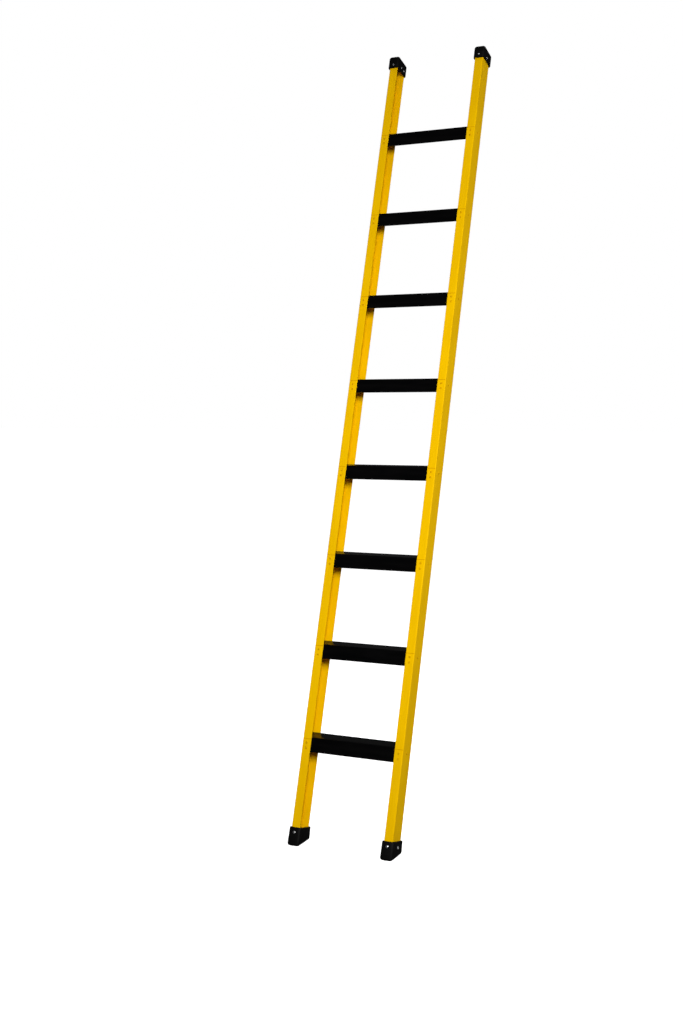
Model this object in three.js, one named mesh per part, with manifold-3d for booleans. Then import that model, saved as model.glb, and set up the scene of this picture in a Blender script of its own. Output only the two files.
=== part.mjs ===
// Leaning step ladder in one section: two glass-fibre channel stiles with their open sides facing
// each other, eight moulded treads held between the flanges, rubber feet and rubber top caps.
//
// Millimetres. Inside the ladder group X runs across, Y from the front to the rear and Z up along
// the stiles, with y = 0 on the stiles' front faces. The whole group then leans back until the
// treads are level and the soles lie flat on the ground.

import * as THREE from "three";
import { mergeVertices } from "three/addons/utils/BufferGeometryUtils.js";
import Module from "manifold-3d";

const wasm = await Module();
wasm.setup();

// Driving dimensions

const LEAN = THREE.MathUtils.degToRad(18.5);
const GAP = 0.3; // fitting clearance between neighbouring pieces

const OUTER_WIDTH = 348; // outside to outside of the stiles
const STILE_WIDTH = 29; // across one flange
const STILE_DEPTH = 65;
const STILE_WALL = 3;
const HEEL_RADIUS = 3; // outside corners of the channel
const TIP_RADIUS = 1; // edges of the flange tips

const TREAD_COUNT = 8;
const TREAD_SPACING = 300;
const FIRST_TREAD = 341; // front edge of the lowest tread, along the stile from the sole
const TREAD_WALL = 3;
const FRONT_LIP = 46;
const REAR_LIP = 24;
const END_WALL = 4;
const RIB_DROP = 10; // stiffening ribs under the top plate
const RIB_WALL = 2.5;
const GROOVE_COUNT = 8; // anti-slip grooves along the top
const GROOVE_WIDTH = 2;
const GROOVE_DEPTH = 1;
const NOSING_RADIUS = 1.5;

const BOOT_WALL = 5.5; // rubber around the stile, on feet and caps
const BOOT_CORNER = 8;
const BOOT_EDGE = 8; // rounding of the closed end
const BOOT_EDGE_INSET = 7; // how far that rounding pulls the end face in
const FOOT_RIM = 58; // top edge of a foot at its front
const FOOT_RIM_RISE = THREE.MathUtils.degToRad(4);
const FOOT_BASE = 12; // rubber under the end of the stile
const FOOT_CORE = 48; // top of the core between the flanges
const FOOT_BLOCK = 90; // height of the moulding before its rim is trimmed
const FOOT_FLARE = 1.5; // how far the walls have spread at the sole, narrowing to none at FOOT_BLOCK
const SOLE_GROOVES = 4;
const SOLE_GROOVE_WIDTH = 4;
const SOLE_GROOVE_DEPTH = 2.5;
const CAP_RIM = 2695;
const CAP_HEIGHT = 44;
const CAP_ROOF = 8;

const FLANGE_RIVET_DROPS = [17, 34]; // below the front edge of the tread
const WEB_RIVET_DEPTH = 30; // back from the front face
const WEB_RIVET_DROP = 14.5;
const BACKING_BAR = { width: 10, height: 29, thickness: 2 };
const TREAD_RIVET = { headRadius: 3.6, headHeight: 1.6, shankRadius: 2.0 };
const WEB_RIVET_TAIL = { radius: 3, length: 3 }; // the set end inside the tread
const FOOT_RIVET = { headRadius: 4.8, headHeight: 2.2, shankRadius: 2.4 };
const CAP_RIVET = { headRadius: 3.8, headHeight: 1.8, shankRadius: 2.4 };
const ROUND_SIDES = 8; // facets around a rivet or its hole
const BOOT_RIVET_GRIP = 15; // on the feet, through the rubber and the stile wall into the rubber core
const CAP_RIVET_TAIL = { radius: 3.6, length: 3 }; // the set end inside a cap
const FOOT_RIVET_HEIGHT = 42;
const FOOT_RIVET_STAND_OFF = 1.25; // keeps the heads clear of the flared walls
const CAP_RIVET_HEIGHT = CAP_RIM + 11;
const CAP_INNER_RIVETS = [22, 45]; // back from the front face, on the side towards the treads
const CAP_OUTER_RIVET = 26;

// Values that follow from them

const HALF_WIDTH = OUTER_WIDTH / 2;
const CAP_TOP = CAP_RIM + CAP_HEIGHT;
const STILE_TOP = CAP_TOP - CAP_ROOF;
const RISE = Math.tan(LEAN); // how a level line climbs along the stile, per millimetre of depth
const TREAD_FRONT = STILE_WALL + GAP;
const TREAD_DEPTH = STILE_DEPTH - 2 * TREAD_FRONT;
const TREAD_END = HALF_WIDTH - STILE_WALL - GAP;
const REACH = 2 * STILE_DEPTH; // how far the cutting shapes run past the stile
const FLANGE_MIDDLE = HALF_WIDTH - STILE_WIDTH / 2;
const SIDES = [{ name: "left", sign: -1 }, { name: "right", sign: 1 }];

// Materials

const glassFibreYellow = new THREE.MeshStandardMaterial({ color: 0xe8b400, roughness: 0.42, metalness: 0 });
const treadBlack = new THREE.MeshStandardMaterial({ color: 0x0b0b0c, roughness: 0.3, metalness: 0 });
const rubberBlack = new THREE.MeshStandardMaterial({ color: 0x121212, roughness: 0.75, metalness: 0 });
const brightSteel = new THREE.MeshStandardMaterial({ color: 0xb9bcbd, roughness: 0.3, metalness: 1 });
const bronzedSteel = new THREE.MeshStandardMaterial({ color: 0x8a6a1e, roughness: 0.45, metalness: 0.8 });

// Solids: a closed geometry becomes a solid that joins and cuts, and goes back to a geometry

function toSolid(geometry) {
  const bare = geometry.clone();
  bare.deleteAttribute("normal");
  bare.deleteAttribute("uv");
  const merged = mergeVertices(bare);
  return new wasm.Manifold(new wasm.Mesh({
    numProp: 3,
    vertProperties: new Float32Array(merged.attributes.position.array),
    triVerts: new Uint32Array(merged.index.array),
  }));
}

function toGeometry(solid) {
  const mesh = solid.getMesh();
  const geometry = new THREE.BufferGeometry();
  geometry.setAttribute("position", new THREE.BufferAttribute(mesh.vertProperties, 3));
  geometry.setIndex(new THREE.BufferAttribute(mesh.triVerts, 1));
  geometry.computeVertexNormals();
  return geometry;
}

// A prism with its outline in the Y-Z plane, running across from x0 to x1
function prismAcross(shape, x0, x1) {
  const options = { depth: x1 - x0, bevelEnabled: false };
  const geometry = new THREE.ExtrudeGeometry(shape, options);
  const turn = new THREE.Matrix4().makeBasis(
    new THREE.Vector3(0, 1, 0),
    new THREE.Vector3(0, 0, 1),
    new THREE.Vector3(1, 0, 0),
  );
  return geometry.applyMatrix4(turn).translate(x0, 0, 0);
}

function polygon(points) {
  return new THREE.Shape(points.map(([x, y]) => new THREE.Vector2(x, y)));
}

function roundedRectangle(x0, y0, x1, y1, radius) {
  const shape = new THREE.Shape();
  shape.moveTo(x0 + radius, y0);
  shape.lineTo(x1 - radius, y0);
  shape.absarc(x1 - radius, y0 + radius, radius, -Math.PI / 2, 0);
  shape.lineTo(x1, y1 - radius);
  shape.absarc(x1 - radius, y1 - radius, radius, 0, Math.PI / 2);
  shape.lineTo(x0 + radius, y1);
  shape.absarc(x0 + radius, y1 - radius, radius, Math.PI / 2, Math.PI);
  shape.lineTo(x0, y0 + radius);
  shape.absarc(x0 + radius, y0 + radius, radius, Math.PI, 1.5 * Math.PI);
  return shape;
}

function rod(radius, start, direction, length) {
  const geometry = new THREE.CylinderGeometry(radius, radius, length, ROUND_SIDES);
  const turn = new THREE.Quaternion().setFromUnitVectors(new THREE.Vector3(0, 1, 0), direction);
  const middle = start.clone().addScaledVector(direction, length / 2);
  return geometry.applyQuaternion(turn).translate(middle.x, middle.y, middle.z);
}

// Stile: a channel with its web outside, open towards the other stile

// Channel outline for one side, grown all round by a clearance
function channelShape(sign, grow) {
  const shape = new THREE.Shape();
  const web = HALF_WIDTH + grow;
  const tip = HALF_WIDTH - STILE_WIDTH - grow;
  const inside = HALF_WIDTH - STILE_WALL - grow;
  const front = -grow;
  const rear = STILE_DEPTH + grow;
  const heel = HEEL_RADIUS + grow;
  const wall = STILE_WALL + 2 * grow;
  const at = (across, back) => [sign * across, back];
  shape.moveTo(...at(web - heel, front));
  shape.quadraticCurveTo(...at(web, front), ...at(web, front + heel));
  shape.lineTo(...at(web, rear - heel));
  shape.quadraticCurveTo(...at(web, rear), ...at(web - heel, rear));
  shape.lineTo(...at(tip + TIP_RADIUS, rear));
  shape.lineTo(...at(tip, rear - TIP_RADIUS));
  shape.lineTo(...at(tip, rear - wall));
  shape.lineTo(...at(inside, rear - wall));
  shape.lineTo(...at(inside, front + wall));
  shape.lineTo(...at(tip, front + wall));
  shape.lineTo(...at(tip, front + TIP_RADIUS));
  shape.lineTo(...at(tip + TIP_RADIUS, front));
  return shape;
}

function channelBar(sign, grow, bottom, top) {
  const options = { depth: top - bottom, bevelEnabled: false, curveSegments: 4 };
  return new THREE.ExtrudeGeometry(channelShape(sign, grow), options).translate(0, 0, bottom);
}

// Everything below a level plane that crosses y = 0 at the given height
function belowLevel(height) {
  const floor = height - 2 * REACH;
  const outline = polygon([
    [-REACH, floor],
    [REACH, floor],
    [REACH, height + REACH * RISE],
    [-REACH, height - REACH * RISE],
  ]);
  return toSolid(prismAcross(outline, -OUTER_WIDTH, OUTER_WIDTH));
}

function treadHeight(index) {
  return FIRST_TREAD + index * TREAD_SPACING;
}

function flangeHoles(sign, depth) {
  const holes = [];
  for (let index = 0; index < TREAD_COUNT; index += 1) {
    for (const drop of FLANGE_RIVET_DROPS) {
      const start = new THREE.Vector3(sign * FLANGE_MIDDLE, -1, treadHeight(index) - drop);
      holes.push(rod(TREAD_RIVET.shankRadius + GAP, start, new THREE.Vector3(0, 1, 0), depth + 1));
    }
  }
  return holes;
}

function webHoles(sign, depth) {
  const holes = [];
  for (let index = 0; index < TREAD_COUNT; index += 1) {
    const height = treadHeight(index) - WEB_RIVET_DROP;
    const start = new THREE.Vector3(sign * (HALF_WIDTH + 1), WEB_RIVET_DEPTH, height);
    holes.push(rod(TREAD_RIVET.shankRadius + GAP, start, new THREE.Vector3(-sign, 0, 0), depth + 1));
  }
  return holes;
}

function stileGeometry(sign) {
  let solid = toSolid(channelBar(sign, 0, 0, STILE_TOP)).subtract(belowLevel(FOOT_BASE));
  const depth = STILE_WALL + 1;
  const holes = [...flangeHoles(sign, depth), ...webHoles(sign, depth), ...bootRivetHoles(sign)];
  for (const hole of holes) {
    solid = solid.subtract(toSolid(hole));
  }
  return toGeometry(solid);
}

// Tread: an upside-down channel with a level grooved top, a deep front lip and closed ends

function topLine(back) {
  return back * RISE;
}

// Outline with y = 0 and z = 0 on the front top edge
function treadShape() {
  const depth = TREAD_DEPTH;
  const wall = TREAD_WALL;
  const plate = wall / Math.cos(LEAN);
  const points = [[0, -FRONT_LIP], [0, -NOSING_RADIUS], [NOSING_RADIUS, topLine(NOSING_RADIUS)]];
  const pitch = depth / (GROOVE_COUNT + 1);
  for (let groove = 1; groove <= GROOVE_COUNT; groove += 1) {
    const start = groove * pitch - GROOVE_WIDTH / 2;
    const end = start + GROOVE_WIDTH;
    points.push([start, topLine(start)]);
    points.push([start, topLine(start) - GROOVE_DEPTH]);
    points.push([end, topLine(end) - GROOVE_DEPTH]);
    points.push([end, topLine(end)]);
  }
  points.push([depth - NOSING_RADIUS, topLine(depth - NOSING_RADIUS)]);
  points.push([depth, topLine(depth) - NOSING_RADIUS]);
  points.push([depth, topLine(depth) - REAR_LIP]);
  points.push([depth - wall, topLine(depth) - REAR_LIP]);
  points.push([depth - wall, topLine(depth - wall) - plate]);
  for (const middle of [(2 * depth) / 3, depth / 3]) {
    const rear = middle + RIB_WALL / 2;
    const front = middle - RIB_WALL / 2;
    points.push([rear, topLine(rear) - plate]);
    points.push([rear, topLine(rear) - plate - RIB_DROP]);
    points.push([front, topLine(rear) - plate - RIB_DROP]);
    points.push([front, topLine(front) - plate]);
  }
  points.push([wall, topLine(wall) - plate]);
  points.push([wall, -FRONT_LIP]);
  return polygon(points);
}

// The end wall closes the tread from lip to lip, a little way under the grooves
function endWallShape() {
  const inset = 1;
  const under = GROOVE_DEPTH + inset;
  const depth = TREAD_DEPTH;
  return polygon([
    [inset, -FRONT_LIP],
    [depth - inset, topLine(depth) - REAR_LIP],
    [depth - inset, topLine(depth - inset) - under],
    [inset, topLine(inset) - under],
  ]);
}

function treadGeometry() {
  let solid = toSolid(prismAcross(treadShape(), -TREAD_END, TREAD_END));
  for (const { sign } of SIDES) {
    const [x0, x1] = [sign * TREAD_END, sign * (TREAD_END - END_WALL)].sort((a, b) => a - b);
    solid = solid.add(toSolid(prismAcross(endWallShape(), x0, x1)));
  }
  for (const { sign } of SIDES) {
    for (const drop of FLANGE_RIVET_DROPS) {
      const start = new THREE.Vector3(sign * FLANGE_MIDDLE, -1, -drop);
      const hole = rod(TREAD_RIVET.shankRadius + GAP, start, new THREE.Vector3(0, 1, 0), TREAD_WALL + 2);
      solid = solid.subtract(toSolid(hole));
    }
    const start = new THREE.Vector3(sign * (TREAD_END + 1), WEB_RIVET_DEPTH - TREAD_FRONT, -WEB_RIVET_DROP);
    const hole = rod(TREAD_RIVET.shankRadius + GAP, start, new THREE.Vector3(-sign, 0, 0), END_WALL + 2);
    solid = solid.subtract(toSolid(hole));
  }
  return toGeometry(solid);
}

// Rivets: a domed head at the origin's near side and a shank along +Y

function rivetProfile({ headRadius, headHeight, shankRadius }, grip, tail) {
  const points = [new THREE.Vector2(0, grip)];
  if (tail) {
    points.push(new THREE.Vector2(tail.radius, grip));
    points.push(new THREE.Vector2(tail.radius, grip - tail.length));
    points.push(new THREE.Vector2(shankRadius, grip - tail.length));
  } else {
    points.push(new THREE.Vector2(shankRadius, grip));
  }
  points.push(new THREE.Vector2(shankRadius, -GAP));
  points.push(new THREE.Vector2(headRadius, -GAP));
  points.push(new THREE.Vector2(headRadius * Math.SQRT1_2, -GAP - headHeight * Math.SQRT1_2));
  points.push(new THREE.Vector2(0, -GAP - headHeight));
  return points.reverse();
}

function rivetGeometry(rivet, grip, tail) {
  const lathe = new THREE.LatheGeometry(rivetProfile(rivet, grip, tail), ROUND_SIDES);
  return toGeometry(toSolid(lathe));
}

// Two flange rivets that share one bar behind the tread's front lip
function rivetPairGeometry() {
  const barFace = STILE_WALL + GAP + TREAD_WALL + GAP;
  const grip = barFace + BACKING_BAR.thickness / 2;
  const [upper, lower] = FLANGE_RIVET_DROPS;
  const bar = new THREE.BoxGeometry(BACKING_BAR.width, BACKING_BAR.thickness, BACKING_BAR.height);
  bar.translate(0, barFace + BACKING_BAR.thickness / 2, -(lower - upper) / 2);
  let solid = toSolid(bar);
  for (const drop of [0, upper - lower]) {
    solid = solid.add(toSolid(rivetGeometry(TREAD_RIVET, grip).translate(0, 0, drop)));
  }
  return toGeometry(solid);
}

// Where the boot rivets sit on one side: position on the boot's face, the way the shank points and, on
// the caps, how far in the set end starts
function bootRivets({ name, sign }) {
  const back = new THREE.Vector3(0, 1, 0);
  const inward = new THREE.Vector3(-sign, 0, 0);
  const outward = new THREE.Vector3(sign, 0, 0);
  const outerFace = sign * (HALF_WIDTH + BOOT_WALL);
  const footFront = -BOOT_WALL - FOOT_RIVET_STAND_OFF;
  const footSide = outerFace + sign * FOOT_RIVET_STAND_OFF;
  const innerFace = sign * (HALF_WIDTH - STILE_WIDTH - BOOT_WALL);
  const front = sign * FLANGE_MIDDLE;
  const throughStile = BOOT_WALL + STILE_WALL + GAP;
  const rivets = [
    { name: `foot_rivet_${name}_front`, at: [front, footFront, FOOT_RIVET_HEIGHT], along: back },
    { name: `foot_rivet_${name}_side`, at: [footSide, WEB_RIVET_DEPTH, FOOT_RIVET_HEIGHT], along: inward },
    {
      name: `cap_rivet_${name}_front`,
      at: [front, -BOOT_WALL, CAP_RIVET_HEIGHT],
      along: back,
      tailAt: throughStile,
    },
    {
      name: `cap_rivet_${name}_outer`,
      at: [outerFace, CAP_OUTER_RIVET, CAP_RIVET_HEIGHT],
      along: inward,
      tailAt: throughStile,
    },
  ];
  CAP_INNER_RIVETS.forEach((depth, index) => {
    const at = [innerFace, depth, CAP_RIVET_HEIGHT];
    rivets.push({ name: `cap_rivet_${name}_inner_${index + 1}`, at, along: outward, tailAt: BOOT_WALL });
  });
  return rivets;
}

function bootRivetGeometry(tailAt) {
  if (tailAt === undefined) {
    return rivetGeometry(FOOT_RIVET, BOOT_RIVET_GRIP);
  }
  return rivetGeometry(CAP_RIVET, tailAt + CAP_RIVET_TAIL.length, CAP_RIVET_TAIL);
}

function bootRivetHoles(sign) {
  const side = SIDES.find((entry) => entry.sign === sign);
  return bootRivets(side).map(({ at, along }) => {
    const start = new THREE.Vector3(...at).addScaledVector(along, -1);
    return rod(FOOT_RIVET.shankRadius + GAP, start, along, BOOT_RIVET_GRIP + 1 + GAP);
  });
}

// Boots: rubber mouldings that grip the ends of the stiles, with a core between the flanges in the feet

function bootBlock(sign, height) {
  const near = HALF_WIDTH - STILE_WIDTH - BOOT_WALL;
  const far = HALF_WIDTH + BOOT_WALL;
  const [x0, x1] = [sign * near, sign * far].sort((a, b) => a - b);
  const outline = roundedRectangle(x0, -BOOT_WALL, x1, STILE_DEPTH + BOOT_WALL, BOOT_CORNER);
  const options = {
    depth: height - 2 * BOOT_EDGE,
    bevelThickness: BOOT_EDGE,
    bevelSize: BOOT_EDGE_INSET,
    bevelOffset: -BOOT_EDGE_INSET,
    bevelSegments: 4,
    curveSegments: 4,
  };
  return new THREE.ExtrudeGeometry(outline, options).translate(0, 0, BOOT_EDGE);
}

// The open space of a channel, from its web to the flange tips, with enough overlap to meet the slot
function hollowBar(sign, bottom, top) {
  const tip = HALF_WIDTH - STILE_WIDTH - GAP;
  const inside = HALF_WIDTH - STILE_WALL;
  const box = new THREE.BoxGeometry(inside - tip, STILE_DEPTH - 2 * STILE_WALL, top - bottom);
  return box.translate((sign * (tip + inside)) / 2, STILE_DEPTH / 2, (bottom + top) / 2);
}

// Moves every corner of a geometry with a function of its position
function reshape(geometry, move) {
  const position = geometry.attributes.position;
  const point = new THREE.Vector3();
  for (let index = 0; index < position.count; index += 1) {
    point.fromBufferAttribute(position, index);
    move(point);
    position.setXYZ(index, point.x, point.y, point.z);
  }
  return geometry;
}

function footGeometry(sign) {
  const middle = new THREE.Vector2(sign * FLANGE_MIDDLE, STILE_DEPTH / 2);
  const block = reshape(bootBlock(sign, FOOT_BLOCK), (point) => {
    const flare = FOOT_FLARE * (1 - point.z / FOOT_BLOCK);
    point.x += flare * Math.sign(point.x - middle.x);
    point.y += flare * Math.sign(point.y - middle.y);
    point.z += point.y * RISE;
  });
  let solid = toSolid(block);
  const rimClimb = REACH * Math.tan(FOOT_RIM_RISE);
  const aboveRim = polygon([
    [-REACH, FOOT_RIM - rimClimb],
    [REACH, FOOT_RIM + rimClimb],
    [REACH, 3 * FOOT_BLOCK],
    [-REACH, 3 * FOOT_BLOCK],
  ]);
  solid = solid.subtract(toSolid(prismAcross(aboveRim, -OUTER_WIDTH, OUTER_WIDTH)));
  const pocket = toSolid(channelBar(sign, GAP, 0, FOOT_BLOCK)).subtract(belowLevel(FOOT_BASE - GAP));
  solid = solid.subtract(pocket).subtract(toSolid(hollowBar(sign, FOOT_CORE, FOOT_BLOCK)));
  const pitch = STILE_DEPTH / (SOLE_GROOVES + 1);
  for (let groove = 1; groove <= SOLE_GROOVES; groove += 1) {
    const front = groove * pitch - SOLE_GROOVE_WIDTH / 2;
    const rear = front + SOLE_GROOVE_WIDTH;
    const outline = polygon([
      [front, front * RISE - 1],
      [rear, rear * RISE - 1],
      [rear, rear * RISE + SOLE_GROOVE_DEPTH],
      [front, front * RISE + SOLE_GROOVE_DEPTH],
    ]);
    solid = solid.subtract(toSolid(prismAcross(outline, -OUTER_WIDTH, OUTER_WIDTH)));
  }
  for (const hole of bootRivetHoles(sign)) {
    solid = solid.subtract(toSolid(hole));
  }
  return toGeometry(solid);
}

function capGeometry(sign) {
  const spare = 2 * BOOT_EDGE; // the block's rounded lower end, cut off at the rim
  const block = bootBlock(sign, CAP_HEIGHT + spare).translate(0, 0, CAP_RIM - spare);
  let solid = toSolid(block);
  const below = new THREE.BoxGeometry(2 * OUTER_WIDTH, 2 * STILE_DEPTH, 2 * spare);
  below.translate(0, STILE_DEPTH / 2, CAP_RIM - spare);
  solid = solid.subtract(toSolid(below));
  const [bottom, top] = [CAP_RIM - BOOT_EDGE, STILE_TOP + GAP];
  solid = solid.subtract(toSolid(channelBar(sign, GAP, bottom, top)));
  solid = solid.subtract(toSolid(hollowBar(sign, bottom, top)));
  for (const hole of bootRivetHoles(sign)) {
    solid = solid.subtract(toSolid(hole));
  }
  return toGeometry(solid);
}

// Assembly

const ladder = new THREE.Group();

function addPiece(name, geometry, material, position = [0, 0, 0]) {
  const mesh = new THREE.Mesh(geometry, material);
  mesh.name = name;
  mesh.position.set(...position);
  ladder.add(mesh);
  return mesh;
}

for (const side of SIDES) {
  addPiece(`stile_${side.name}`, stileGeometry(side.sign), glassFibreYellow);
  addPiece(`foot_${side.name}`, footGeometry(side.sign), rubberBlack);
  addPiece(`top_cap_${side.name}`, capGeometry(side.sign), rubberBlack);
}

const tread = treadGeometry();
const rivetPair = rivetPairGeometry();
const webGrip = STILE_WALL + GAP + END_WALL + GAP;
const webRivet = rivetGeometry(TREAD_RIVET, webGrip + WEB_RIVET_TAIL.length, WEB_RIVET_TAIL);

for (let index = 0; index < TREAD_COUNT; index += 1) {
  const height = treadHeight(index);
  const number = index + 1;
  addPiece(`tread_${number}`, tread, treadBlack, [0, TREAD_FRONT, height]);
  for (const { name, sign } of SIDES) {
    const pairPosition = [sign * FLANGE_MIDDLE, 0, height - FLANGE_RIVET_DROPS[0]];
    addPiece(`flange_rivets_${name}_${number}`, rivetPair, bronzedSteel, pairPosition);
    const webPosition = [sign * HALF_WIDTH, WEB_RIVET_DEPTH, height - WEB_RIVET_DROP];
    const rivet = addPiece(`web_rivet_${name}_${number}`, webRivet, bronzedSteel, webPosition);
    rivet.rotation.z = (sign * Math.PI) / 2;
  }
}

for (const side of SIDES) {
  for (const { name, at, along, tailAt } of bootRivets(side)) {
    const rivet = addPiece(name, bootRivetGeometry(tailAt), brightSteel, at);
    rivet.quaternion.setFromUnitVectors(new THREE.Vector3(0, 1, 0), along);
  }
}

// Lean the ladder back and stand it with the origin under the middle of its bounding box
ladder.rotation.x = -LEAN;
ladder.updateMatrixWorld(true);
const bounds = new THREE.Box3().setFromObject(ladder, true);
ladder.position.set(0, -(bounds.min.y + bounds.max.y) / 2, -bounds.min.z);

export default ladder;
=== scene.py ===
import math

import bmesh
import bpy
from mathutils import Matrix, Vector


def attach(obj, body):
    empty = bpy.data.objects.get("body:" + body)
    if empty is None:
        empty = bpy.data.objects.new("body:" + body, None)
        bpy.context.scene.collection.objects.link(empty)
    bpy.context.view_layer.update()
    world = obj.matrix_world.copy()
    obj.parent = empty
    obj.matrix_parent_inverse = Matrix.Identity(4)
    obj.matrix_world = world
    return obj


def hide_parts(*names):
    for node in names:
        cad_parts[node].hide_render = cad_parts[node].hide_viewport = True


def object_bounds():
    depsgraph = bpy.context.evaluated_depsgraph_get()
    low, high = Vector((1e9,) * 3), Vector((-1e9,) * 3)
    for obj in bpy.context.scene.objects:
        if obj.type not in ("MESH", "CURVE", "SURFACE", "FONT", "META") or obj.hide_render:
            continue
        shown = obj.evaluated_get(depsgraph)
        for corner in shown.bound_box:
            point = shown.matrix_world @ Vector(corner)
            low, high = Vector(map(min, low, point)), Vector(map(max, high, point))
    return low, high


# A leaning ladder: yellow glass-fibre channel stiles, black moulded treads, and riveted rubber feet and
# caps. Every piece is made along the ladder's own axes (x across, y from front to rear, z up the stiles,
# in metres) and then leaned back with them.

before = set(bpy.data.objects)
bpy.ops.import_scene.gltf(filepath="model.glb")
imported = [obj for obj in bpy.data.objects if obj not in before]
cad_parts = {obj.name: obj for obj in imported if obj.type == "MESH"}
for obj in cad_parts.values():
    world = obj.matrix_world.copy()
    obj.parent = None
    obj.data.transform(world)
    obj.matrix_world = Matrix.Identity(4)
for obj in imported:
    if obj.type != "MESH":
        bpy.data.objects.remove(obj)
cad_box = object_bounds()

MM = 0.001
WELD = 1e-6  # points nearer than this become one
SHARP_ANGLE = math.radians(32)  # edges sharper than this stay crisp
LEAN = math.radians(18.5)
RISE = math.tan(LEAN)  # how a level line climbs along the stile, per metre of depth
LEANED = Matrix.Rotation(-LEAN, 4, "X")
UPRIGHT = LEANED.inverted()

SIDES = {"left": -1, "right": 1}
TREADS = range(1, 9)

STILE_WALL = 3 * MM
HEEL_RADIUS = 3 * MM  # outer corners of the channel
TREAD_WALL = 3 * MM
FRONT_LIP = 46 * MM
REAR_LIP = 24 * MM
RIB_DROP = 10 * MM
RIB_WALL = 2.5 * MM
GROOVES = 8
GROOVE_WIDTH = 2 * MM
GROOVE_DEPTH = 1 * MM
NOSING = 1.5 * MM
TREAD_EDGE = 0.35 * MM  # rounding of a tread's moulded edges
END_WALL = 4 * MM
END_INSET = 0.8 * MM  # of the end walls behind the plate and lips
END_BURIED = 0.2 * MM  # of the end walls inside the moulding's ends

BOOT_WALL = 5.5 * MM
BOOT_CORNER = 8 * MM
LEAST_CORNER = 2 * MM
CORNER_SHRINK = 0.6  # how much the corners tighten as the closed end rounds over
BOOT_EDGE = 9 * MM  # rounding of a boot's closed end
RIM_EDGE = 1.2 * MM  # rounding of its open end
FOOT_RIM = 58 * MM
FOOT_RIM_RISE = math.radians(4)
FOOT_BASE = 12 * MM
FOOT_CORE = 48 * MM  # top of the rubber between the flanges
FOOT_BLOCK = 90 * MM
FOOT_FLARE = 1.5 * MM
SOLE_GROOVES = 4
SOLE_GROOVE_WIDTH = 4 * MM
SOLE_GROOVE_DEPTH = 2.5 * MM
FITTING_GAP = 0.3 * MM
CUT_MARGIN = 5 * MM  # of a cutter past a cap's rim

RIVET_SIDES = 28
DIMPLE = 0.26  # radius of the dimple in a rivet's head, as a share of the head's
DIMPLE_FLOOR = 0.72  # heights, as shares of the head's
DIMPLE_RIM = 0.97
HEAD_SKIRT = 0.12
FLANGE_RIVETS = [17 * MM, 34 * MM]  # below the front edge of the tread
BAR_WIDTH = 10 * MM
BAR_THICKNESS = 2 * MM
BAR_MARGIN = 6 * MM  # of the bar past its two rivets
TREAD_HEAD = (3.6 * MM, 1.5 * MM)  # radius and height of the rivet heads
FOOT_HEAD = (4.8 * MM, 2.1 * MM)
CAP_HEAD = (3.8 * MM, 1.7 * MM)
TREAD_SHANK = 2 * MM
BOOT_SHANK = 2.4 * MM
HEAD_GAP = 0.1 * MM  # between a tread rivet's head and the stile

DARK_LINE_DROP = 5 * MM  # fine dark line across the stiles' front faces, below each tread's front edge
DARK_LINE_WIDTH = 1.3 * MM

CAMERA_LENS = 45.72
CAMERA_TURN = math.radians(25.56)
CAMERA_TILT = math.radians(-5.80)
CAMERA_ROLL = math.radians(-0.71)
CAMERA_FROM_MIDDLE = Vector((1.703, -3.9764, 0.1607))  # from the middle of the ladder's box, in metres

# Soft panels: where they stand, what they face, their size in metres, watts and spread in degrees
KEY = {"place": (2.0, -3.5, 2.9), "aim": (0, 0, 0.9), "size": (1.8, 1.8), "power": 75, "spread": 100}
SIDE_FILL = {"place": (3.3, 0.8, 1.5), "aim": (0, 0, 1.4), "size": (1.2, 1.6), "power": 38, "spread": 180}
REAR_FILL = {"place": (-3.0, 2.0, 2.2), "aim": (0, 0, 1.3), "size": (1.6, 2.2), "power": 12, "spread": 180}
OVERHEAD_STRENGTH = 1.1
OVERHEAD_SPREAD = math.radians(70)
BACKGROUND_SEEN = 1.0
BACKGROUND_LIT = 0.05
FLOOR_SIZE = 60
FLOOR_GLOW = 0.78


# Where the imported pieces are, along the ladder's own axes

def span(node):
    """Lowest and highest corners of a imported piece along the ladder's own axes."""
    points = [UPRIGHT @ vertex.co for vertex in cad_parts[node].data.vertices]
    low = Vector([min(point[axis] for point in points) for axis in range(3)])
    high = Vector([max(point[axis] for point in points) for axis in range(3)])
    return low, high


stile_low, stile_high = span("stile_right")
STILE_FRONT = stile_low.y
STILE_DEPTH = stile_high.y - stile_low.y
STILE_WIDTH = stile_high.x - stile_low.x
HALF_WIDTH = stile_high.x
tread_low = span("tread_1")[0]
FIRST_TREAD = tread_low.z + FRONT_LIP  # front edge of the lowest tread's top
TREAD_SPACING = (span(f"tread_{TREADS[-1]}")[0].z - tread_low.z) / (len(TREADS) - 1)


# Shader maths: an output that works in Python expressions, and a finish that holds the nodes

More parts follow.
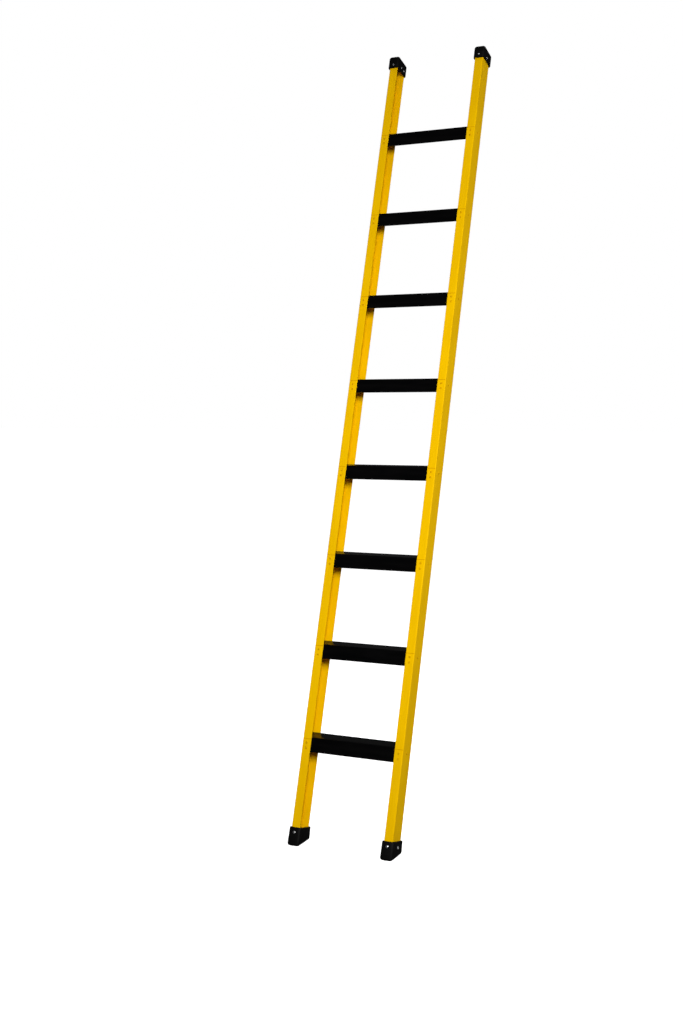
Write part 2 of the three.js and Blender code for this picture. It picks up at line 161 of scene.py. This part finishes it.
class Value:
    """A node's output, which adds Math nodes when it is used in an expression."""

    def __init__(self, finish, socket):
        self.finish = finish
        self.socket = socket

    def _maths(self, operation, *terms):
        return self.finish.node("ShaderNodeMath", {"operation": operation}, dict(enumerate(terms)))

    def __add__(self, other):
        return self._maths("ADD", self, other)

    def __radd__(self, other):
        return self._maths("ADD", other, self)

    def __sub__(self, other):
        return self._maths("SUBTRACT", self, other)

    def __rsub__(self, other):
        return self._maths("SUBTRACT", other, self)

    def __mul__(self, other):
        return self._maths("MULTIPLY", self, other)

    def __rmul__(self, other):
        return self._maths("MULTIPLY", other, self)

    def __truediv__(self, other):
        return self._maths("DIVIDE", self, other)

    def __lt__(self, other):
        return self._maths("LESS_THAN", self, other)

    def __abs__(self):
        return self._maths("ABSOLUTE", self)

    def fraction(self):
        return self._maths("FRACT", self)

    def smooth(self, start, end):
        """0 up to start and 1 from end on, with a soft step between them; start may be the larger."""
        inputs = {"Value": self, "From Min": start, "From Max": end}
        return self.finish.node("ShaderNodeMapRange", {"interpolation_type": "SMOOTHSTEP"}, inputs)


class Finish:
    """A material made of nodes around one Principled shader."""

    def __init__(self, name, **constants):
        self.material = bpy.data.materials.new(name)
        self.material.use_nodes = True
        self.tree = self.material.node_tree
        self.shader = self.tree.nodes["Principled BSDF"]
        self.feed(self.shader, constants_by_socket(constants))

    def feed(self, node, inputs):
        for key, value in inputs.items():
            if isinstance(value, Value):
                self.tree.links.new(value.socket, node.inputs[key])
            else:
                node.inputs[key].default_value = value

    def node(self, kind, settings=None, inputs=None, output=0):
        made = self.tree.nodes.new(kind)
        for name, value in (settings or {}).items():
            setattr(made, name, value)
        self.feed(made, inputs or {})
        return Value(self, made.outputs[output])

    def along_ladder(self):
        """A point's place along the ladder's own axes, in metres."""
        place = self.node("ShaderNodeTexCoord", output="Object")
        return self.node("ShaderNodeMapping", None, {"Vector": place, "Rotation": (LEAN, 0, 0)})

    def stretched(self, place, scale):
        return self.node("ShaderNodeVectorMath", {"operation": "MULTIPLY"}, {0: place, 1: scale})

    def noise(self, place, scale, detail=2.0, roughness=0.5):
        """Noise from 0 to 1, with its own scale along each of the three axes."""
        inputs = {"Vector": self.stretched(place, scale), "Scale": 1.0}
        inputs.update({"Detail": detail, "Roughness": roughness})
        return self.node("ShaderNodeTexNoise", {"noise_dimensions": "3D"}, inputs)

    def axes(self, place):
        split = self.node("ShaderNodeSeparateXYZ", None, {0: place}).socket.node
        return [Value(self, output) for output in split.outputs]

    def mix(self, share, first, second):
        settings = {"data_type": "RGBA", "clamp_factor": True}
        return self.node("ShaderNodeMix", settings, {0: share, 6: first, 7: second}, output=2)

    def bump(self, height, strength, distance):
        inputs = {"Height": height, "Strength": strength, "Distance": distance}
        return self.node("ShaderNodeBump", None, inputs)

    def surface(self, **inputs):
        self.feed(self.shader, constants_by_socket(inputs))
        return self.material


def constants_by_socket(inputs):
    """Keyword names such as base_color as the shader's socket names such as Base Color."""
    special = {"ior": "IOR", "specular_ior_level": "Specular IOR Level"}
    return {special.get(name, name.replace("_", " ").title()): value for name, value in inputs.items()}


def colour(red, green, blue):
    return (red, green, blue, 1.0)


# Finishes

def glass_fibre_yellow():
    finish = Finish("glass_fibre_yellow", ior=1.18, specular_tint=colour(1, 0.72, 0.1))
    place = finish.along_ladder()
    _, depth, height = finish.axes(place)
    strands = finish.noise(place, (950, 950, 9), detail=3)
    veil = finish.noise(place, (420, 420, 160), detail=4, roughness=0.6)
    clouds = finish.noise(place, (26, 26, 7))
    body = finish.mix(clouds.smooth(0.3, 0.7), colour(0.7, 0.4, 0.0), colour(0.74, 0.43, 0.0))
    body = finish.mix(strands.smooth(0.58, 0.78) * 0.22, body, colour(0.88, 0.52, 0.02))
    body = finish.mix(strands.smooth(0.42, 0.22) * 0.2, body, colour(0.70, 0.33, 0.0))
    # A fine dark line across the stiles' front faces, one tread spacing apart, just below each tread's
    # front edge
    from_line = abs(((height - (FIRST_TREAD - DARK_LINE_DROP)) / TREAD_SPACING + 0.5).fraction() - 0.5)
    on_front = depth < STILE_FRONT + 0.4 * MM
    edge = DARK_LINE_WIDTH / TREAD_SPACING
    line = from_line.smooth(edge, 0.3 * edge) * on_front
    body = finish.mix(line * (0.55 + 0.45 * veil), body, colour(0.45, 0.16, 0.0))
    relief = strands * 0.5 + veil * 0.5
    return finish.surface(
        base_color=body,
        roughness=0.36 + 0.14 * veil + 0.06 * strands,
        normal=finish.bump(relief, 0.25, 0.15 * MM),
    )


def moulded_black():
    finish = Finish("moulded_black", specular_ior_level=0.11)
    place = finish.along_ladder()
    grain = finish.noise(place, (900, 1400, 1400), detail=3)
    flow = finish.noise(place, (9, 60, 60))
    shade = flow.smooth(0.35, 0.7)
    body = finish.mix(shade, colour(0.0006, 0.0006, 0.0007), colour(0.0014, 0.0013, 0.0014))
    return finish.surface(
        base_color=body,
        roughness=0.17 + 0.09 * grain + 0.05 * flow,
        normal=finish.bump(grain, 0.18, 0.1 * MM),
    )


def moulded_rubber():
    finish = Finish("moulded_rubber", specular_ior_level=0.1)
    place = finish.along_ladder()
    grain = finish.noise(place, (1300, 1300, 1300), detail=4, roughness=0.65)
    smudges = finish.noise(place, (70, 70, 70), detail=3)
    shade = smudges.smooth(0.45, 0.8)
    body = finish.mix(shade, colour(0.0007, 0.0007, 0.0007), colour(0.002, 0.002, 0.0019))
    return finish.surface(
        base_color=body,
        roughness=0.5 + 0.22 * grain,
        normal=finish.bump(grain, 0.5, 0.2 * MM),
    )


def bright_rivet():
    finish = Finish("bright_rivet", metallic=1.0)
    place = finish.along_ladder()
    scuffs = finish.noise(place, (2600, 2600, 700), detail=3)
    tarnish = finish.noise(place, (420, 420, 420))
    body = finish.mix(tarnish.smooth(0.35, 0.75), colour(0.6, 0.61, 0.61), colour(0.4, 0.41, 0.41))
    return finish.surface(
        base_color=body,
        roughness=0.24 + 0.2 * scuffs,
        normal=finish.bump(scuffs, 0.2, 0.08 * MM),
    )


def dulled_rivet():
    finish = Finish("dulled_rivet", ior=1.25, specular_tint=colour(1, 0.72, 0.1))
    place = finish.along_ladder()
    scuffs = finish.noise(place, (2200, 2200, 900), detail=3)
    film = finish.noise(place, (380, 380, 380))
    body = finish.mix(film.smooth(0.3, 0.75), colour(0.66, 0.345, 0.0), colour(0.5, 0.25, 0.0))
    return finish.surface(
        base_color=body,
        metallic=0.15 * film,
        roughness=0.34 + 0.2 * scuffs,
        normal=finish.bump(scuffs, 0.25, 0.08 * MM),
    )


def pale_floor():
    finish = Finish(
        "pale_floor",
        roughness=1.0,
        specular_ior_level=0.0,
        emission_color=colour(1, 1, 1),
        emission_strength=FLOOR_GLOW,
    )
    place = finish.node("ShaderNodeTexCoord", output="Object")
    cloud = finish.noise(place, (0.8, 0.8, 0.8))
    body = finish.mix(cloud, colour(0.74, 0.74, 0.74), colour(0.78, 0.78, 0.78))
    return finish.surface(base_color=body)


yellow = glass_fibre_yellow()
black = moulded_black()
rubber = moulded_rubber()
bright = bright_rivet()
dulled = dulled_rivet()


# Mesh building

def new_piece(name, mesh, material, nodes):
    """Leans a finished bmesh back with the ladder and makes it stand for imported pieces."""
    mesh.transform(LEANED)
    bmesh.ops.recalc_face_normals(mesh, faces=mesh.faces)
    data = bpy.data.meshes.new(name)
    mesh.to_mesh(data)
    mesh.free()
    data.materials.append(material)
    data.shade_smooth()
    data.set_sharp_from_angle(angle=SHARP_ANGLE)
    piece = bpy.data.objects.new(name, data)
    bpy.context.scene.collection.objects.link(piece)
    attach(piece, "root")
    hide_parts(*nodes)
    return piece


def ring(mesh, points):
    return [mesh.verts.new(point) for point in points]


def join_rings(mesh, lower, upper):
    count = len(lower)
    for index in range(count):
        after = (index + 1) % count
        mesh.faces.new((lower[index], lower[after], upper[after], upper[index]))


def loft(mesh, rings):
    """Closed skin over a stack of rings with the same number of points, flat at both ends."""
    made = [ring(mesh, points) for points in rings]
    for lower, upper in zip(made, made[1:]):
        join_rings(mesh, lower, upper)
    mesh.faces.new(made[0])
    mesh.faces.new(reversed(made[-1]))


def prism_across(mesh, outline, x0, x1):
    """Extrudes an outline of (depth, height) points across the ladder."""
    loft(mesh, [[(x, y, z) for y, z in outline] for x in (x0, x1)])


def rounded_rectangle(x0, x1, y0, y1, radius, steps=7):
    """Points around a rectangle with rounded corners."""
    points = []
    corners = [(x1, y0, -90), (x1, y1, 0), (x0, y1, 90), (x0, y0, 180)]
    for x, y, start in corners:
        centre_x = x - math.copysign(radius, x - (x0 + x1) / 2)
        centre_y = y - math.copysign(radius, y - (y0 + y1) / 2)
        for step in range(steps):
            angle = math.radians(start + 90 * step / (steps - 1))
            points.append((centre_x + radius * math.cos(angle), centre_y + radius * math.sin(angle)))
    return points


def round_off(mesh, width, least_angle, segments=2):
    edges = [edge for edge in mesh.edges if len(edge.link_faces) == 2]
    sharp = [edge for edge in edges if edge.calc_face_angle() > math.radians(least_angle)]
    bmesh.ops.bevel(mesh, geom=sharp, offset=width, segments=segments, profile=0.5, affect="EDGES",
                    clamp_overlap=True)


# Treads

def tread_outline(depth):
    """Section of a tread from the foot of its front lip over the grooved top to the foot of its rear lip,
    and back under the plate past the two ribs."""
    plate = TREAD_WALL / math.cos(LEAN)
    points = [(0, -FRONT_LIP), (0, -NOSING), (0.3 * NOSING, -0.25 * NOSING), (NOSING, RISE * NOSING)]
    pitch = depth / (GROOVES + 1)
    for groove in range(1, GROOVES + 1):
        start = groove * pitch - GROOVE_WIDTH / 2
        end = start + GROOVE_WIDTH
        points.append((start, RISE * start))
        points.append((start, RISE * start - GROOVE_DEPTH))
        points.append((end, RISE * end - GROOVE_DEPTH))
        points.append((end, RISE * end))
    rear_top = RISE * depth
    points.append((depth - NOSING, RISE * (depth - NOSING)))
    points.append((depth, rear_top - NOSING))
    points.append((depth, rear_top - REAR_LIP))
    points.append((depth - TREAD_WALL, rear_top - REAR_LIP))
    points.append((depth - TREAD_WALL, RISE * (depth - TREAD_WALL) - plate))
    for middle in (2 * depth / 3, depth / 3):
        rear, front = middle + RIB_WALL / 2, middle - RIB_WALL / 2
        foot = RISE * rear - plate - RIB_DROP
        points.append((rear, RISE * rear - plate))
        points.append((rear, foot))
        points.append((front, foot))
        points.append((front, RISE * front - plate))
    points.append((TREAD_WALL, RISE * TREAD_WALL - plate))
    points.append((TREAD_WALL, -FRONT_LIP))
    return points


def tread_end_outline(depth):
    inset = END_INSET
    under = GROOVE_DEPTH + inset
    return [
        (inset, -FRONT_LIP + inset),
        (depth - inset, RISE * depth - REAR_LIP + inset),
        (depth - inset, RISE * (depth - inset) - under),
        (inset, RISE * inset - under),
    ]


def make_tread(number):
    low, high = span(f"tread_{number}")
    depth = high.y - low.y
    mesh = bmesh.new()
    prism_across(mesh, tread_outline(depth), low.x, high.x)
    round_off(mesh, TREAD_EDGE, 25)
    prism_across(mesh, tread_end_outline(depth), low.x + END_BURIED, low.x + END_WALL)
    prism_across(mesh, tread_end_outline(depth), high.x - END_WALL, high.x - END_BURIED)
    bmesh.ops.translate(mesh, verts=mesh.verts, vec=(0, low.y, low.z + FRONT_LIP))
    return new_piece(f"step_{number}", mesh, black, [f"tread_{number}"])


# Rivets

def rivet_profile(head, shank_radius, grip):
    """Radius and height of a set blind rivet, from the dimple in its head down to the end of its shank."""
    head_radius, head_height = head
    dimple = DIMPLE * head_radius
    floor = DIMPLE_FLOOR * head_height
    profile = [(0, floor), (0.8 * dimple, floor), (dimple, DIMPLE_RIM * head_height)]
    steps = 7
    start = math.degrees(math.asin(dimple / head_radius))
    for step in range(steps + 1):
        angle = math.radians(start + (90 - start) * step / steps)
        height = head_height * (HEAD_SKIRT + (1 - HEAD_SKIRT) * math.cos(angle))
        profile.append((head_radius * math.sin(angle), height))
    profile.append((0.97 * head_radius, 0))
    profile.append((shank_radius, 0))
    profile.append((shank_radius, -grip))
    profile.append((0, -grip))
    return profile


def add_rivet(mesh, profile, seat, outward):
    """Turns a rivet profile about the line through its seat that points out of the surface."""
    turn = outward.to_track_quat("Z", "Y").to_matrix()
    columns = []
    for side in range(RIVET_SIDES):
        angle = 2 * math.pi * side / RIVET_SIDES
        around = Vector((math.cos(angle), math.sin(angle), 0))
        points = [around * radius + Vector((0, 0, height)) for radius, height in profile[1:-1]]
        columns.append([mesh.verts.new(seat + turn @ point) for point in points])
    ends = [mesh.verts.new(seat + turn @ Vector((0, 0, profile[index][1]))) for index in (0, -1)]
    for side in range(RIVET_SIDES):
        here, there = columns[side], columns[(side + 1) % RIVET_SIDES]
        for index in range(len(here) - 1):
            mesh.faces.new((here[index], here[index + 1], there[index + 1], there[index]))
        mesh.faces.new((ends[0], here[0], there[0]))
        mesh.faces.new((ends[1], there[-1], here[-1]))


def make_flange_rivets(side, number):
    """Two rivets through a stile's front flange, on one bar behind the tread's front lip."""
    node = f"flange_rivets_{side}_{number}"
    low, high = span(node)
    middle = (low.x + high.x) / 2
    top = FIRST_TREAD + (number - 1) * TREAD_SPACING
    upper, lower = FLANGE_RIVETS
    bar_low = max(low.z, top - lower - BAR_MARGIN)
    bar_high = top - upper + BAR_MARGIN
    bar = rounded_rectangle(middle - BAR_WIDTH / 2, middle + BAR_WIDTH / 2, bar_low, bar_high, 2 * MM)
    mesh = bmesh.new()
    loft(mesh, [[(x, y, z) for x, z in bar] for y in (high.y - BAR_THICKNESS, high.y)])
    profile = rivet_profile(TREAD_HEAD, TREAD_SHANK, high.y - STILE_FRONT - BAR_THICKNESS / 2)
    for drop in FLANGE_RIVETS:
        seat = Vector((middle, STILE_FRONT - HEAD_GAP, top - drop))
        add_rivet(mesh, profile, seat, Vector((0, -1, 0)))
    return new_piece(f"front_rivets_{side}_{number}", mesh, dulled, [node])


def make_web_rivet(side, number):
    node = f"web_rivet_{side}_{number}"
    low, high = span(node)
    sign = SIDES[side]
    grip = high.x - low.x - 2 * MM
    seat = Vector((sign * (HALF_WIDTH + HEAD_GAP), (low.y + high.y) / 2, (low.z + high.z) / 2))
    mesh = bmesh.new()
    add_rivet(mesh, rivet_profile(TREAD_HEAD, TREAD_SHANK, grip), seat, Vector((sign, 0, 0)))
    return new_piece(f"side_rivet_{side}_{number}", mesh, dulled, [node])


def make_boot_rivet(node, head, outward):
    """A boot's bright rivet, with its head on the boot's skin and its shank running inwards."""
    low, high = span(node)
    middle = (low + high) / 2
    reach = abs(outward.dot(high - low))
    head_height = head[1]
    seat = middle + outward * (reach / 2 - head_height)
    mesh = bmesh.new()
    add_rivet(mesh, rivet_profile(head, BOOT_SHANK, reach - head_height - MM), seat, outward)
    return new_piece(node.replace("rivet", "stud"), mesh, bright, [node])


# Boots

def channel_outline(sign, grow):
    """Section of a stile, grown all round by a clearance."""
    web, tip = HALF_WIDTH + grow, HALF_WIDTH - STILE_WIDTH - grow
    inside = HALF_WIDTH - STILE_WALL - grow
    front, rear = STILE_FRONT - grow, STILE_FRONT + STILE_DEPTH + grow
    wall = STILE_WALL + 2 * grow
    points = [(tip, front)]
    for start, y in ((-90, front + HEEL_RADIUS), (0, rear - HEEL_RADIUS)):
        for step in range(6):
            angle = math.radians(start + 90 * step / 5)
            x = web - HEEL_RADIUS + HEEL_RADIUS * math.cos(angle)
            points.append((x, y + HEEL_RADIUS * math.sin(angle)))
    points += [(tip, rear), (tip, rear - wall), (inside, rear - wall)]
    points += [(inside, front + wall), (tip, front + wall)]
    return [(sign * x, y) for x, y in points]


def hollow_outline(sign):
    """Section of the open space in a channel, from its web to the flange tips."""
    tip, inside = sign * (HALF_WIDTH - STILE_WIDTH - FITTING_GAP), sign * (HALF_WIDTH - STILE_WALL)
    front, rear = STILE_FRONT + STILE_WALL, STILE_FRONT + STILE_DEPTH - STILE_WALL
    return [(tip, front), (inside, front), (inside, rear), (tip, rear)]


def boot_block(mesh, sign, stations):
    """Lofts a boot through stations of (height at the front face, rise per metre of depth, inset)."""
    x0, x1 = sorted((sign * (HALF_WIDTH - STILE_WIDTH - BOOT_WALL), sign * (HALF_WIDTH + BOOT_WALL)))
    y0, y1 = STILE_FRONT - BOOT_WALL, STILE_FRONT + STILE_DEPTH + BOOT_WALL
    rings = []
    for height, rise, inset in stations:
        radius = max(BOOT_CORNER - CORNER_SHRINK * max(inset, 0), LEAST_CORNER)
        outline = rounded_rectangle(x0 + inset, x1 - inset, y0 + inset, y1 - inset, radius)
        rings.append([(x, y, height + rise * (y - STILE_FRONT)) for x, y in outline])
    loft(mesh, rings)


def cut_away(mesh, cutter):
    """Takes the cutter's solids, which mustn't overlap each other, out of a mesh."""
    objects = []
    for name, solid in (("boot", mesh), ("cutter", cutter)):
        bmesh.ops.recalc_face_normals(solid, faces=solid.faces)
        data = bpy.data.meshes.new(name)
        solid.to_mesh(data)
        solid.free()
        objects.append(bpy.data.objects.new(name, data))
        bpy.context.scene.collection.objects.link(objects[-1])
    body, tool = objects
    modifier = body.modifiers.new("cut", "BOOLEAN")
    modifier.operation = "DIFFERENCE"
    modifier.solver = "EXACT"
    modifier.object = tool
    result = bmesh.new()
    result.from_object(body, bpy.context.evaluated_depsgraph_get())
    for thing in objects:
        data = thing.data
        bpy.data.objects.remove(thing)
        bpy.data.meshes.remove(data)
    bmesh.ops.remove_doubles(result, verts=result.verts, dist=WELD)
    bmesh.ops.dissolve_degenerate(result, edges=result.edges, dist=WELD)
    return result


def quarter_round(radius, steps=6):
    """(inset, distance from the end face) pairs around a quarter circle, from the end face outwards."""
    angles = [math.pi / 2 * step / steps for step in range(steps + 1)]
    return [(radius * (1 - math.sin(angle)), radius * (1 - math.cos(angle))) for angle in angles]


def sole_height():
    """Height of the sole plane at the stiles' front face, along the ladder's own axes."""
    ground = cad_box[0].z
    return (ground + STILE_FRONT * math.sin(LEAN)) / math.cos(LEAN)


def foot_station(height, inset):
    """One ring of a foot: its edges turn from the slope of the sole to the slope of the rim."""
    flare = FOOT_FLARE * (1 - height / FOOT_BLOCK)
    rise = RISE + (math.tan(FOOT_RIM_RISE) - RISE) * height / FOOT_RIM
    return sole_height() + height, rise, inset - flare


def cut_sole_grooves(cutter, sole):
    pitch = STILE_DEPTH / (SOLE_GROOVES + 1)
    for groove in range(1, SOLE_GROOVES + 1):
        front = groove * pitch - SOLE_GROOVE_WIDTH / 2
        rear = front + SOLE_GROOVE_WIDTH
        outline = [
            (STILE_FRONT + front, sole + RISE * front - MM),
            (STILE_FRONT + rear, sole + RISE * rear - MM),
            (STILE_FRONT + rear, sole + RISE * rear + SOLE_GROOVE_DEPTH),
            (STILE_FRONT + front, sole + RISE * front + SOLE_GROOVE_DEPTH),
        ]
        prism_across(cutter, outline, -HALF_WIDTH - STILE_WIDTH, HALF_WIDTH + STILE_WIDTH)


def make_foot(side):
    sign = SIDES[side]
    sole = sole_height()
    stations = [foot_station(height, inset) for inset, height in quarter_round(BOOT_EDGE)]
    stations.append(foot_station(0.5 * FOOT_RIM, 0))
    for inset, drop in reversed(quarter_round(RIM_EDGE, 4)):
        stations.append(foot_station(FOOT_RIM - drop, inset))
    mesh = bmesh.new()
    boot_block(mesh, sign, stations)
    cutter = bmesh.new()
    slot = channel_outline(sign, FITTING_GAP)
    loft(cutter, [
        [(x, y, sole + FOOT_BASE - FITTING_GAP + RISE * (y - STILE_FRONT)) for x, y in slot],
        [(x, y, sole + 2 * FOOT_RIM) for x, y in slot],
    ])
    cut_sole_grooves(cutter, sole)
    hollow = bmesh.new()
    loft(hollow, [[(x, y, sole + z) for x, y in hollow_outline(sign)] for z in (FOOT_CORE, FOOT_BLOCK)])
    mesh = cut_away(cut_away(mesh, cutter), hollow)
    return new_piece(f"boot_{side}", mesh, rubber, [f"foot_{side}"])


def make_cap(side):
    sign = SIDES[side]
    low, high = span(f"top_cap_{side}")
    stations = [(low.z + drop, 0, inset) for inset, drop in quarter_round(RIM_EDGE, 4)]
    stations.append((0.5 * (low.z + high.z), 0, 0))
    stations += [(high.z - drop, 0, inset) for inset, drop in reversed(quarter_round(BOOT_EDGE))]
    mesh = bmesh.new()
    boot_block(mesh, sign, stations)
    cutter = bmesh.new()
    slot = channel_outline(sign, FITTING_GAP)
    top = stile_high.z + FITTING_GAP
    loft(cutter, [[(x, y, z) for x, y in slot] for z in (low.z - CUT_MARGIN, top)])
    hollow = bmesh.new()
    loft(hollow, [[(x, y, z) for x, y in hollow_outline(sign)] for z in (low.z - CUT_MARGIN - MM, top)])
    mesh = cut_away(cut_away(mesh, cutter), hollow)
    return new_piece(f"end_cap_{side}", mesh, rubber, [f"top_cap_{side}"])


# Assembly

for side, sign in SIDES.items():
    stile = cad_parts[f"stile_{side}"]
    stile.data.materials.clear()
    stile.data.materials.append(yellow)
    make_foot(side)
    make_cap(side)
    front, outer, inner = Vector((0, -1, 0)), Vector((sign, 0, 0)), Vector((-sign, 0, 0))
    make_boot_rivet(f"foot_rivet_{side}_front", FOOT_HEAD, front)
    make_boot_rivet(f"foot_rivet_{side}_side", FOOT_HEAD, outer)
    make_boot_rivet(f"cap_rivet_{side}_front", CAP_HEAD, front)
    make_boot_rivet(f"cap_rivet_{side}_outer", CAP_HEAD, outer)
    make_boot_rivet(f"cap_rivet_{side}_inner_1", CAP_HEAD, inner)
    make_boot_rivet(f"cap_rivet_{side}_inner_2", CAP_HEAD, inner)

for number in TREADS:
    make_tread(number)
    for side in SIDES:
        make_flange_rivets(side, number)
        make_web_rivet(side, number)


# Floor, light and camera

def make_floor():
    """A pale floor that is seen but throws no light back on the ladder."""
    mesh = bmesh.new()
    half = FLOOR_SIZE / 2
    corners = ring(mesh, [(-half, -half, 0), (half, -half, 0), (half, half, 0), (-half, half, 0)])
    mesh.faces.new(corners)
    data = bpy.data.meshes.new("floor")
    mesh.to_mesh(data)
    mesh.free()
    data.materials.append(pale_floor())
    floor = bpy.data.objects.new("floor", data)
    bpy.context.scene.collection.objects.link(floor)
    floor.visible_diffuse = False
    floor.visible_glossy = False


def make_panel(name, place, aim, size, power, spread):
    """A soft rectangular light panel that faces its aim."""
    light = bpy.data.lights.new(name, "AREA")
    light.shape = "RECTANGLE"
    light.size, light.size_y = size
    light.energy = power
    light.spread = math.radians(spread)
    panel = bpy.data.objects.new(name, light)
    panel.location = place
    panel.rotation_euler = (Vector(aim) - Vector(place)).to_track_quat("-Z", "Y").to_euler()
    bpy.context.scene.collection.objects.link(panel)


def make_overhead():
    """Broad even light from straight above, left out of reflections."""
    light = bpy.data.lights.new("overhead", "SUN")
    light.energy = OVERHEAD_STRENGTH
    light.angle = OVERHEAD_SPREAD
    overhead = bpy.data.objects.new("overhead", light)
    overhead.visible_glossy = False
    bpy.context.scene.collection.objects.link(overhead)


def make_world():
    """White to the eye, and dimmer as a source of light."""
    world = bpy.data.worlds.new("studio")
    bpy.context.scene.world = world
    world.use_nodes = True
    nodes, links = world.node_tree.nodes, world.node_tree.links
    background = nodes["Background"]
    background.inputs["Color"].default_value = colour(1, 1, 1)
    path = nodes.new("ShaderNodeLightPath")
    strength = nodes.new("ShaderNodeMapRange")
    strength.inputs["To Min"].default_value = BACKGROUND_LIT
    strength.inputs["To Max"].default_value = BACKGROUND_SEEN
    links.new(path.outputs["Is Camera Ray"], strength.inputs["Value"])
    links.new(strength.outputs["Result"], background.inputs["Strength"])


def make_camera():
    camera = bpy.data.objects.new("camera", bpy.data.cameras.new("camera"))
    camera.data.lens = CAMERA_LENS
    camera.data.sensor_width = 36
    camera.data.clip_end = 200
    turn = Matrix.Rotation(CAMERA_TURN, 4, "Z")
    tilt = Matrix.Rotation(math.pi / 2 + CAMERA_TILT, 4, "X")
    roll = Matrix.Rotation(CAMERA_ROLL, 4, "Z")
    middle = (cad_box[0] + cad_box[1]) / 2
    camera.matrix_world = Matrix.Translation(middle + CAMERA_FROM_MIDDLE) @ turn @ tilt @ roll
    bpy.context.scene.collection.objects.link(camera)
    bpy.context.scene.camera = camera


make_floor()
make_overhead()
make_panel("key", **KEY)
make_panel("side_fill", **SIDE_FILL)
make_panel("rear_fill", **REAR_FILL)
make_world()
make_camera()
bpy.context.scene.view_settings.view_transform = "Standard"
